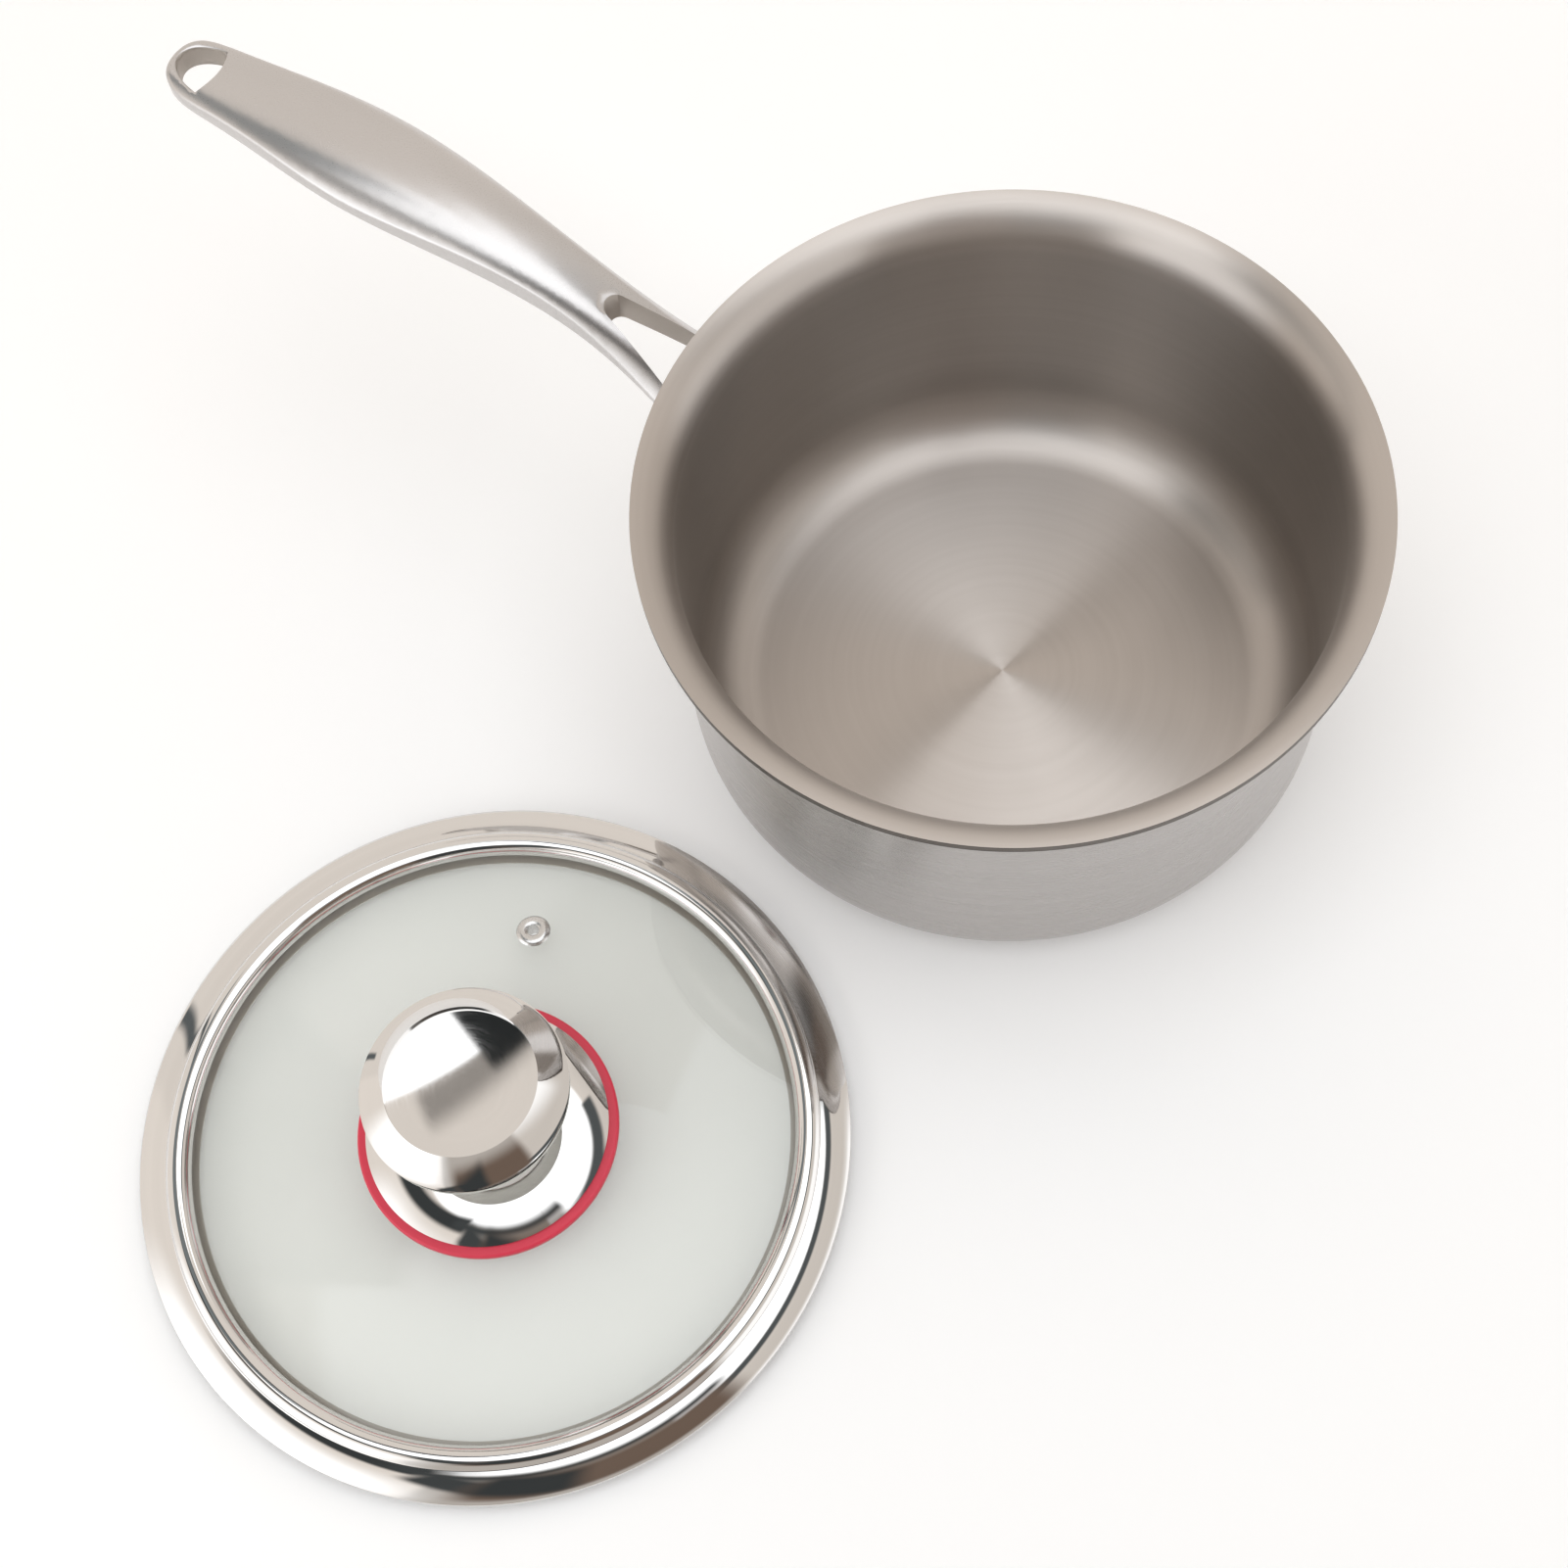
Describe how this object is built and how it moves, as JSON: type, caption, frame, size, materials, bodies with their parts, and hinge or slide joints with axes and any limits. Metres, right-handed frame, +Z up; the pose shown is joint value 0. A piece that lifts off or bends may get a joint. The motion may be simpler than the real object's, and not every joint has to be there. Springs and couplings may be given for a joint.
{
  "type": "saucepan with glass lid",
  "caption": "Stainless steel saucepan with a forked cast handle and a hanging loop, its domed glass lid with a steel band and a mushroom knob lying beside it.",
  "frame": {"origin": "centre of the underside of the pan's flat base, which stands on the table", "axes": "+Z up along the pan's axis; the handle points along -X; the lid lies on the same table on the -Y side of the pan"},
  "size_m": [0.3635, 0.3967, 0.1362],
  "materials": {
    "cooking_skin": "satin, fine circular brushing",
    "aluminium_core": "cut edge only",
    "outer_skin": "satin",
    "handle": "satin cast stainless steel",
    "handle_welds": "satin",
    "lid_glass": "clear tempered glass, faintly green",
    "polished_steel": "polished",
    "gasket": "red silicone rubber, satin",
    "fixings": "bright zinc or stainless",
    "bush": "natural silicone or nylon"
  },
  "bodies": {
    "pan": {"cooking_skin": "cooking_skin", "aluminium_core": "aluminium_core", "outer_skin": "outer_skin", "handle": "handle", "handle_welds": "handle_welds"},
    "lid": {"lid_glass": "lid_glass", "rim_band": "polished_steel", "vent_eyelet": "polished_steel", "knob_gasket": "gasket", "knob_saucer": "polished_steel", "knob_body": "polished_steel", "knob_cap": "polished_steel", "knob_disc": "polished_steel", "knob_post": "fixings", "glass_bush": "bush", "screw_washer": "fixings", "lock_washer": "fixings", "lid_screw": "fixings"}
  },
  "joints": [
    {"name": "lid_lift", "type": "slide", "parent": "pan", "child": "lid", "axis": [0, 0, 1], "range_m": [0, 0.15]}
  ]
}
